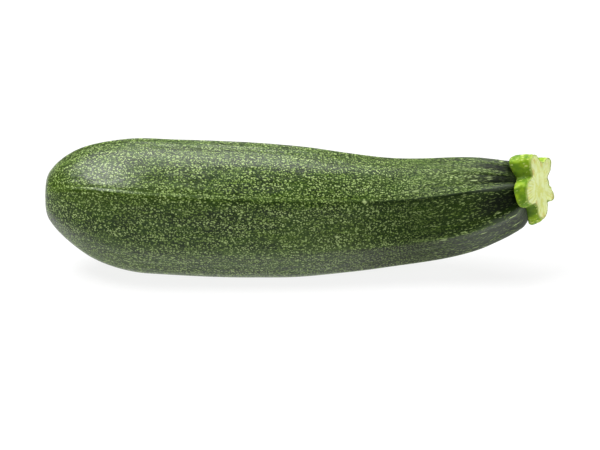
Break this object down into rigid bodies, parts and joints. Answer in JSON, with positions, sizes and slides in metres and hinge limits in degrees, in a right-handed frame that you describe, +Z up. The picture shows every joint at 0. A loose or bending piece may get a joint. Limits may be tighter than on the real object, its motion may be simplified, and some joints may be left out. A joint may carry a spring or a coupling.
{
  "type": "zucchini squash",
  "caption": "Long ribbed summer squash lying on its side, with a blunt blossom end, a slimmer upturned neck and a cut star-shaped stem stump; it rests on a small flat spot of its belly.",
  "frame": {"origin": "bottom middle of the whole squash, on the surface it rests on", "axes": "+Z up, +X along the fruit towards the stem, -Y towards the side that the picture shows"},
  "size_m": [0.1946, 0.051, 0.0513],
  "materials": {
    "skin": "waxy dark green squash skin with dense pale yellow-green speckles and flecks, satin sheen",
    "stem": "moist bright yellow-green plant stem, with a pale fibrous cut face"
  },
  "bodies": {
    "root": {"fruit": "skin", "stem": "stem"}
  },
  "joints": []
}
